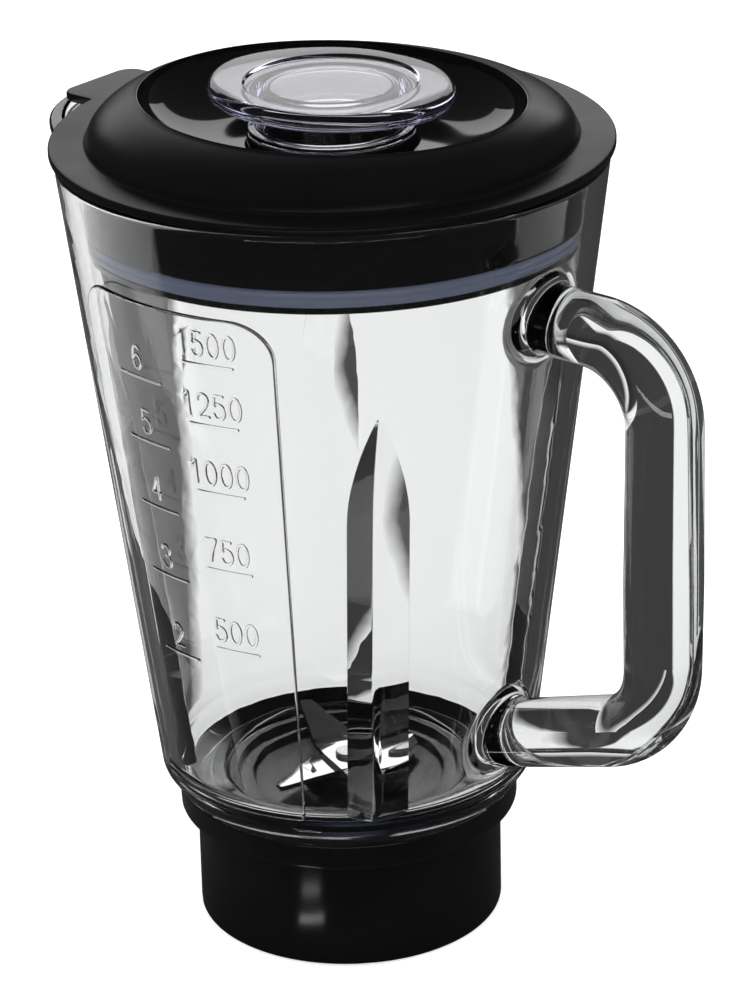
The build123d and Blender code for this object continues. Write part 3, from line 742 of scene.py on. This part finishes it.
def makeBlade(name, cut):
    # a five-sided section carried along a line that bends up at both ends of the hub
    lift = math.radians(cut["lift"])
    hub, bend, half, thick = blades["hub"], blades["bend"], blades["width"] / 2, blades["thick"]
    total = hub + cut["wing"]
    turn = np.linspace(-1, 1, blades["bendRows"]) * bend + hub
    u = np.unique(np.concatenate([np.linspace(-total, total, blades["rows"]), turn, -turn]))
    bent = np.clip((np.abs(u) - hub + bend) / (2 * bend), 0, 1)
    angle = np.sign(u) * lift * bent
    du = np.gradient(u)
    x, z = np.cumsum(np.cos(angle) * du), np.cumsum(np.sin(angle) * du)
    x, z = x - np.interp(0, u, x), z - np.interp(0, u, z)
    reach = np.abs(x).max()
    slide = np.clip((np.abs(x) - blades["rakeStart"]) / (reach - blades["rakeStart"]), 0, 1)
    lead = -half + slide * (blades["width"] - blades["tipWidth"])
    wing = np.clip((np.abs(u) - hub + 1) / 2, 0, 1)
    bevel = np.minimum(blades["bevel"] * wing, half - lead - blades["least"])
    edge = thick - (thick - blades["edge"]) * wing
    trail, low, high = (np.full(len(u), value) for value in (half, -thick / 2, thick / 2))
    across = np.stack([lead, lead, lead + bevel + blades["bevelGap"], trail, trail], 1)
    through = np.stack([low, low + edge - blades["edgeGap"], high, high, low], 1)
    far = x[:, None] < 0  # the far wing is the near one turned half round
    across = np.where(far, -across[:, ::-1], across)
    through = np.where(far, through[:, ::-1], through)
    bow, stand = np.sin(angle)[:, None], np.cos(angle)[:, None]
    height = z[:, None] + stand * through + cut["height"] + thick / 2
    rows = closeEnds(swung(x[:, None] - bow * through, across, height, cut["turn"]))
    return meshFromRows(name, rows, loop=False, sharp=blades["sharp"])


lowerBlade = makeBlade("lowerCutter", blades["lower"])
upperBlade = makeBlade("upperCutter", blades["upper"])
print("base, dish and blades are made")


# Shared effects, as node groups that put out heights and masks

def newGroup(name, inputs, outputs):
    group = bpy.data.node_groups.new(name, "ShaderNodeTree")
    for label, value in inputs.items():
        group.interface.new_socket(label, in_out="INPUT", socket_type="NodeSocketFloat").default_value = value
    for label in outputs:
        group.interface.new_socket(label, in_out="OUTPUT", socket_type="NodeSocketFloat")
    return group, group.nodes.new("NodeGroupInput").outputs, group.nodes.new("NodeGroupOutput")


def feed(node, values):
    # each input takes a plain value, or a link from the output of another node
    for key, value in values.items():
        if isinstance(value, bpy.types.NodeSocket):
            node.id_data.links.new(value, node.inputs[key])
        else:
            node.inputs[key].default_value = value


def addNode(tree, kind, values=None, **settings):
    node = tree.nodes.new(kind)
    for key, value in settings.items():
        setattr(node, key, value)
    feed(node, values or {})
    return node


def combine(tree, operation, *terms, **settings):
    return addNode(tree, "ShaderNodeMath", dict(enumerate(terms)), operation=operation, **settings).outputs["Value"]


def noise(tree, place, **values):
    return addNode(tree, "ShaderNodeTexNoise", {"Vector": place, **values}).outputs["Fac"]


def ramp(tree, source, low, high, start=0.3, end=0.7):
    # a mask read as a number between two ends
    values = {"Value": source, "From Min": start, "From Max": end, "To Min": low, "To Max": high}
    return addNode(tree, "ShaderNodeMapRange", values).outputs["Result"]


def mixed(tree, share, low, high):
    return addNode(
        tree, "ShaderNodeMix", {"Factor": share, "A": low, "B": high}, data_type="FLOAT").outputs["Result"]


def tint(tree, source, low, high):
    # a mask read as a colour between two others
    values = {"Factor": source, "A": (*low, 1.0), "B": (*high, 1.0)}
    return addNode(tree, "ShaderNodeMix", values, data_type="RGBA").outputs["Result"]


def makeGrain():
    # moulded texture: fine noise for height, broad noise for handling marks
    group, given, out = newGroup("mouldedGrain", {"Scale": 1600.0, "Marks": 22.0}, ["Height", "Marks"])
    place = addNode(group, "ShaderNodeTexCoord").outputs["Object"]
    feed(out, {
        "Height": noise(group, place, Scale=given["Scale"], Detail=3.0, Roughness=0.6),
        "Marks": noise(group, place, Scale=given["Marks"], Detail=4.0, Roughness=0.55, Distortion=0.6),
    })
    return group


def makeRipple():
    # cast surface: slow swells, then finer waves, each with its own share of the height
    waves = (("Scale", 34.0, 1.0), ("Wave", 110.0, 0.25))
    group, given, out = newGroup("castRipple", {label: scale for label, scale, share in waves}, ["Height"])
    place = addNode(group, "ShaderNodeTexCoord").outputs["Object"]
    height = 0.0
    for label, scale, share in waves:
        wave = noise(group, place, Scale=given[label], Detail=1.0, Roughness=0.45, Distortion=0.3)
        height = combine(group, "MULTIPLY_ADD", wave, share, height)
    feed(out, {"Height": height})
    return group


def makeGrind():
    # ground metal: noise drawn out along X, and a broad mask for stains
    group, given, out = newGroup("groundMetal", {"Scale": 900.0, "Stretch": 0.06}, ["Height", "Stain"])
    place = addNode(group, "ShaderNodeTexCoord").outputs["Object"]
    stretch = addNode(group, "ShaderNodeCombineXYZ", {"X": given["Stretch"], "Y": 1.0, "Z": 1.0}).outputs["Vector"]
    drawn = addNode(group, "ShaderNodeVectorMath", {0: place, 1: stretch}, operation="MULTIPLY").outputs["Vector"]
    feed(out, {
        "Height": noise(group, drawn, Scale=given["Scale"], Detail=4.0, Roughness=0.65),
        "Stain": noise(group, place, Scale=90.0, Detail=3.0),
    })
    return group


grainGroup, rippleGroup, grindGroup = makeGrain(), makeRipple(), makeGrind()
white = (1.0, 1.0, 1.0, 1.0)


def newMaterial(name):
    material = bpy.data.materials.new(name)
    material.use_nodes = True
    return material, material.node_tree, material.node_tree.nodes["Principled BSDF"]


def useGroup(tree, group, **values):
    return addNode(tree, "ShaderNodeGroup", values, node_tree=group).outputs


def bumped(tree, height, strength, distance):
    values = {"Strength": strength, "Distance": distance, "Height": height}
    return addNode(tree, "ShaderNodeBump", values).outputs["Normal"]


glassFinish = {
    "color": (0.985, 0.99, 0.985), "ior": 1.5, "rough": (0.0, 0.012), "marks": 30.0, "ripple": 0.00012,
    "absorb": (0.62, 0.66, 0.64), "density": 13.0,
}
capFinish = {
    "color": (0.97, 0.97, 0.985), "ior": 1.49, "rough": (0.02, 0.06), "marks": 30.0, "ripple": 0.000003,
    "absorb": (0.68, 0.68, 0.93), "density": 26.0,
}


def makeClear(name, finish):
    # clear stuff with cast ripples, faint marks, and a tint that grows with its thickness
    material, tree, shader = newMaterial(name)
    ripple, grain = useGroup(tree, rippleGroup), useGroup(tree, grainGroup, Marks=finish["marks"])
    feed(shader, {
        "Base Color": (*finish["color"], 1.0), "IOR": finish["ior"], "Transmission Weight": 1.0,
        "Roughness": ramp(tree, grain["Marks"], *finish["rough"]),
        "Normal": bumped(tree, ripple["Height"], 1.0, finish["ripple"]),
    })
    inside = {"Color": (*finish["absorb"], 1.0), "Density": finish["density"]}
    volume = addNode(tree, "ShaderNodeVolumeAbsorption", inside).outputs["Volume"]
    feed(tree.nodes["Material Output"], {"Volume": volume})
    return material


clearGlass = makeClear("castGlass", glassFinish)
clearPlastic = makeClear("clearPlastic", capFinish)

blackFinish = {
    "low": (0.0026, 0.0026, 0.003), "high": (0.005, 0.005, 0.0056), "grain": 1500.0, "marks": 24.0,
    "bump": (0.3, 0.00005), "gloss": (0.035, 0.07), "glossSheen": 0.45, "glossBump": (0.35, 0.00006),
}


def makeBlack(name, glossy, satin, sheen):
    # black plastic: satin by grain, with the glossy share read from the piece's own attribute where it has one
    material, tree, shader = newMaterial(name)
    grain = useGroup(tree, grainGroup, Scale=blackFinish["grain"], Marks=blackFinish["marks"])
    rough, height, bump = ramp(tree, grain["Marks"], *satin), grain["Height"], blackFinish["bump"]
    if glossy:
        share = addNode(tree, "ShaderNodeAttribute", attribute_name="gloss").outputs["Fac"]
        rough = mixed(tree, share, rough, ramp(tree, grain["Marks"], *blackFinish["gloss"]))
        sheen = ramp(tree, share, sheen, blackFinish["glossSheen"], 0.0, 1.0)
        height = combine(tree, "MULTIPLY", height, combine(tree, "SUBTRACT", 1.0, share))
        bump = blackFinish["glossBump"]
    feed(shader, {
        "Base Color": tint(tree, grain["Marks"], blackFinish["low"], blackFinish["high"]),
        "Roughness": rough, "Specular IOR Level": sheen, "Normal": bumped(tree, height, *bump),
    })
    return material


lidBlack = makeBlack("lidBlack", True, (0.27, 0.35), 0.22)
baseBlack = makeBlack("baseBlack", False, (0.13, 0.18), 0.4)
dishBlack = makeBlack("dishBlack", False, (0.1, 0.16), 0.25)


softFinish = {"grain": 900.0, "marks": 40.0, "scatter": (0.002, 0.002, 0.003), "bump": (0.25, 0.00004)}
metalFinish = {"bump": (0.2, 0.00002)}


def makeSoft(name, low, high, rough, subsurface):
    # silicone and rubber: broad tint, fine bloom
    material, tree, shader = newMaterial(name)
    grain = useGroup(tree, grainGroup, Scale=softFinish["grain"], Marks=softFinish["marks"])
    feed(shader, {
        "Base Color": tint(tree, grain["Marks"], low, high), "Roughness": ramp(tree, grain["Marks"], *rough),
        "Subsurface Weight": subsurface, "Subsurface Radius": softFinish["scatter"], "Subsurface Scale": 1.0,
        "Normal": bumped(tree, grain["Height"], *softFinish["bump"]),
    })
    return material


blueSilicone = makeSoft("blueSilicone", (0.135, 0.155, 0.235), (0.175, 0.195, 0.285), (0.28, 0.4), 0.2)
blackRubber = makeSoft("sealRubber", (0.012, 0.012, 0.012), (0.022, 0.022, 0.022), (0.5, 0.65), 0.0)
feltWool = makeSoft("feltWool", (0.42, 0.39, 0.32), (0.62, 0.58, 0.5), (0.85, 0.95), 0.0)
nylonBlack = makeSoft("nylonBlack", (0.02, 0.02, 0.021), (0.034, 0.034, 0.035), (0.42, 0.55), 0.0)


def makeMetal(name, low, high, rough, scale):
    # ground or turned metal: stained tint, roughness and fine height drawn out along X
    material, tree, shader = newMaterial(name)
    grind = useGroup(tree, grindGroup, Scale=scale)
    feed(shader, {
        "Metallic": 1.0, "Base Color": tint(tree, grind["Stain"], low, high),
        "Roughness": ramp(tree, grind["Height"], *rough),
        "Normal": bumped(tree, grind["Height"], *metalFinish["bump"]),
    })
    return material


bladeSteel = makeMetal("bladeSteel", (0.7, 0.7, 0.71), (0.82, 0.82, 0.83), (0.06, 0.14), 900.0)
turnedSteel = makeMetal("turnedSteel", (0.55, 0.55, 0.56), (0.68, 0.68, 0.69), (0.18, 0.3), 1500.0)
sinterBronze = makeMetal("sinterBronze", (0.42, 0.27, 0.13), (0.56, 0.38, 0.2), (0.35, 0.5), 2200.0)
turnedAlloy = makeMetal("turnedAlloy", (0.6, 0.6, 0.61), (0.7, 0.7, 0.71), (0.25, 0.38), 1500.0)
print("materials are made")


# Each piece takes its finish, rides on its body and stands for its solid

def dress(piece, material, body, slot, *solids):
    piece.data.materials.clear()
    piece.data.materials.append(material)
    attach(piece, body)
    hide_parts(*solids)


dress(glassJar, clearGlass, "jar", "glass", "glass_jar")
dress(lidShell, lidBlack, "lid", "black_plastic", "lid")
dress(sealRing, blueSilicone, "lid", "silicone", "lid_seal")
dress(clearCap, clearPlastic, "cap", "clear_plastic", "measuring_cap")
dress(baseCollar, baseBlack, "base", "black_plastic", "base_collar")
dress(bladeDish, dishBlack, "base", "black_plastic", "blade_carrier")
dress(lowerBlade, bladeSteel, "rotor", "steel", "lower_blade")
dress(upperBlade, bladeSteel, "rotor", "steel", "upper_blade")
glassJar.visible_shadow = False  # clear glass hardly shades what is behind it
clearCap.visible_shadow = False

solidFinish = {
    "jar_gasket": blueSilicone, "bearing_sleeve": turnedAlloy, "upper_bush": sinterBronze, "lower_bush": sinterBronze,
    "shaft_seal": blackRubber, "grease_felt": feltWool, "drive_shaft": turnedSteel, "thrust_washer": turnedSteel,
    "lower_washer": turnedSteel, "retaining_ring": turnedSteel, "drive_coupling": nylonBlack,
    "coupling_insert": turnedSteel,
}
for name, finish in solidFinish.items():
    nodes[name].material_slots[0].material = finish


# Stage: a pale floor, soft lamps, and dark cards that show only in glass and sheen as painted dark reflections and
# shade, as of flags beside a glass in a studio
stage = {
    "floor": 8.0, "floorColor": 0.82, "floorSheen": 0.06, "floorGlow": 0.6, "glassGlow": 0.2, "rough": 0.9,
    "worldLight": 0.5, "worldGloss": 0.06, "ceiling": 0.05, "horizon": (0.0, 0.08),
    "window": {
        "width": (0.7, 0.85), "foot": (0.12, 0.2), "head": (0.5, 0.65), "light": 2.0, "depth": (0.4, 0.6),
    },
    "cardLift": 0.6, "cardStep": 0.2,
    # corners as (across, back) in the camera's plan; each card is a painted dark reflection and shade that fades in
    # along its own direction, and one with a depth shows only to rays that have mirrored at least once, or that passed
    # one wall of glass and not two
    "cards": (
        {"corners": ((-190, -62), (-48, -62), (-98, 620), (-230, 620)),
         "way": (-0.997, -0.073), "fade": (55.0, 65.0), "shade": 0.08},
        {"corners": ((98, -60), (560, -60), (560, 900), (98, 900)),
         "way": (1.0, 0.0), "fade": (100.0, 110.0), "shade": 0.05},
        {"corners": ((43, 20), (100, 20), (100, 230), (96, 230)),
         "way": (0.97, -0.244), "fade": (39.0, 45.0), "shade": 0.05},
        {"corners": ((-1600, -1600), (1600, -1600), (1600, -62), (-1600, -62)),
         "way": (0.0, -1.0), "fade": (62.0, 80.0), "shade": 0.03, "depth": ("Glossy Depth", 0.4, 0.6)},
        {"corners": ((70, 135), (150, 135), (150, 900), (70, 900)),
         "way": (1.0, 0.0), "fade": (72.0, 80.0), "shade": 0.05, "depth": ("Transmission Depth", 2.6, 2.4)},
        {"corners": ((-2500, 540), (2500, 540), (2500, 7000), (-2500, 7000)),
         "way": (0.0, 1.0), "fade": (560.0, 720.0), "shade": 0.05, "depth": ("Transmission Depth", 2.6, 2.4)},
    ),
    # glowing patches low in front, no lamps, that only show as sheen on the base as painted highlights: middles as
    # (across, back), long way and size
    "glints": {
        "middles": ((-31.7, -76.3), (-22.8, -61.2)), "way": (0.859, -0.512), "size": (14.0, 3.4),
        "lift": 2.4, "light": 6.0,
    },
    "lampAim": 0.13,
    "lamps": (
        # name, width, height, place in the camera's own plan (right, back, up), watts and whether it shows in sheen
        ("backPanel", 1.7, 0.5, (0.0, 1.5, 0.75), 3.6, True),
        ("leftBox", 0.4, 0.7, (-1.0, 0.25, 0.7), 5.0, False),
        ("rightBox", 0.4, 0.7, (1.05, 0.2, 0.75), 5.0, False),
        ("frontStrip", 1.8, 0.1, (0.0, -1.3, 0.25), 3.0, True),
        ("topBox", 1.0, 1.0, (-0.1, -0.35, 1.7), 5.0, False),
    ),
}
turnPlan = math.radians(cameraSetup["azimuth"])
planRight = np.array([math.cos(turnPlan), math.sin(turnPlan), 0.0])
planBack = np.array([-math.sin(turnPlan), math.cos(turnPlan), 0.0])


def planPoint(across, back, up=0.0):
    # a point or direction given across and back in the camera's plan
    return planRight * across + planBack * back + np.array([0.0, 0.0, up])


def flatSheet(name, corners, material, *hiddenFrom):
    # one face of the stage, left out for the kinds of ray that are named
    mesh = bpy.data.meshes.new(name)
    mesh.from_pydata([tuple(c) for c in corners], [], [(0, 1, 2, 3)])
    mesh.materials.append(material)
    sheet = bpy.data.objects.new(name, mesh)
    bpy.context.scene.collection.objects.link(sheet)
    for ray in hiddenFrom:
        setattr(sheet, f"visible_{ray}", False)


def rayValue(tree, label):
    return addNode(tree, "ShaderNodeLightPath").outputs[label]


def makeFloor():
    # sheen sees the floor as dark, a painted dark reflection as in a studio with a black surround; the camera and the
    # glass see it white
    s, grey, dark = stage["floor"], stage["floorColor"], stage["floorSheen"]
    material, tree, shader = newMaterial("paleFloor")
    through = rayValue(tree, "Is Transmission Ray")
    sheen = combine(tree, "SUBTRACT", rayValue(tree, "Is Glossy Ray"), through, use_clamp=True)
    glow = combine(
        tree, "MAXIMUM", ramp(tree, rayValue(tree, "Is Camera Ray"), 0.0, stage["floorGlow"], 0.0, 1.0),
        ramp(tree, through, 0.0, stage["glassGlow"], 0.0, 1.0))
    feed(shader, {
        "Base Color": tint(tree, sheen, (grey,) * 3, (dark,) * 3), "Roughness": stage["rough"],
        "Specular IOR Level": 0.0, "Emission Color": white, "Emission Strength": glow,
    })
    flatSheet("paleFloor", [(-s, -s, 0), (s, -s, 0), (s, s, 0), (-s, s, 0)], material)


def makeCards():
    # each card is a sheet hidden from the camera, shadows and diffuse light: it paints dark reflections and shade into
    # glass and sheen
    for k, card in enumerate(stage["cards"]):
        material, tree, shader = newMaterial(f"darkCard{k}")
        place = addNode(tree, "ShaderNodeTexCoord").outputs["Object"]
        way = {0: place, 1: planPoint(*card["way"])}
        along = addNode(tree, "ShaderNodeVectorMath", way, operation="DOT_PRODUCT").outputs["Value"]
        share = ramp(tree, along, 0.0, 1.0, *(end * mm for end in card["fade"]))
        if "depth" in card:
            label, *ends = card["depth"]
            share = combine(tree, "MULTIPLY", share, ramp(tree, rayValue(tree, label), 0.0, 1.0, *ends))
        feed(shader, {
            "Base Color": (*[card["shade"]] * 3, 1.0), "Roughness": stage["rough"], "Specular IOR Level": 0.0,
            "Alpha": share,
        })
        lift = stage["cardLift"] + stage["cardStep"] * k
        corners = [planPoint(across, back, lift) * mm for across, back in card["corners"]]
        flatSheet(f"darkCard{k}", corners, material, "camera", "shadow", "diffuse")


def makeGlints():
    # glowing sheets seen only as sheen: painted highlights on the base
    glints = stage["glints"]
    wide, tall = glints["size"]
    long = planPoint(*glints["way"])
    deep = np.array([-long[1], long[0], 0.0])
    for k, spot in enumerate(glints["middles"]):
        material, _, shader = newMaterial(f"glint{k}")
        feed(shader, {"Roughness": stage["rough"], "Emission Color": white, "Emission Strength": glints["light"]})
        corners = [
            (planPoint(*spot, glints["lift"]) + long * wide / 2 * a + deep * tall / 2 * b) * mm
            for a, b in ((-1, -1), (1, -1), (1, 1), (-1, 1))]
        flatSheet(f"glint{k}", corners, material, "camera", "shadow", "diffuse", "transmission")


def makeLamps():
    for name, width, height, spot, watts, sheen in stage["lamps"]:
        data = bpy.data.lights.new(name, "AREA")
        data.shape = "RECTANGLE"
        data.size, data.size_y = width, height
        data.energy = watts
        lamp = bpy.data.objects.new(name, data)
        lamp.visible_camera = lamp.visible_transmission = False
        lamp.visible_glossy = sheen
        place = planPoint(*spot)
        toward = unit(np.array([0, 0, stage["lampAim"]]) - place)
        across = unit(np.cross(toward, [0, 0, 1.0]))
        putInScene(lamp, across, np.cross(across, toward), toward, place)


def makeWorld():
    # white for the camera; for glass a painted dark sky above the horizon, with a painted bright window at the back, a
    # painted reflection that only what shines inside the jar mirrors; for sheen and light one plain level
    world = bpy.data.worlds.new("studioAir")
    bpy.context.scene.world = world
    world.use_nodes = True
    tree, window = world.node_tree, stage["window"]
    way = addNode(tree, "ShaderNodeTexCoord").outputs["Generated"]
    up = addNode(tree, "ShaderNodeSeparateXYZ", {"Vector": way}).outputs["Z"]
    back = addNode(tree, "ShaderNodeVectorMath", {0: way, 1: planBack}, operation="DOT_PRODUCT").outputs["Value"]
    light = ramp(tree, rayValue(tree, "Glossy Depth"), 0.0, 1.0, *window["depth"])
    for source, ends, low, high in (
        (back, "width", 0.0, window["light"]), (up, "foot", 0.0, 1.0), (up, "head", 1.0, 0.0),
    ):
        light = combine(tree, "MULTIPLY", light, ramp(tree, source, low, high, *window[ends]))
    air = combine(tree, "MAXIMUM", ramp(tree, up, 1.0, stage["ceiling"], *stage["horizon"]), light)
    level = stage["worldLight"]
    for ray, value in (
        ("Is Glossy Ray", stage["worldGloss"]), ("Is Transmission Ray", air), ("Is Camera Ray", 1.0),
    ):
        level = mixed(tree, rayValue(tree, ray), level, value)
    feed(tree.nodes["Background"], {"Color": white, "Strength": level})


makeFloor()
makeCards()
makeGlints()
makeLamps()
makeWorld()
bpy.context.scene.view_settings.view_transform = "Standard"
print("stage is set")
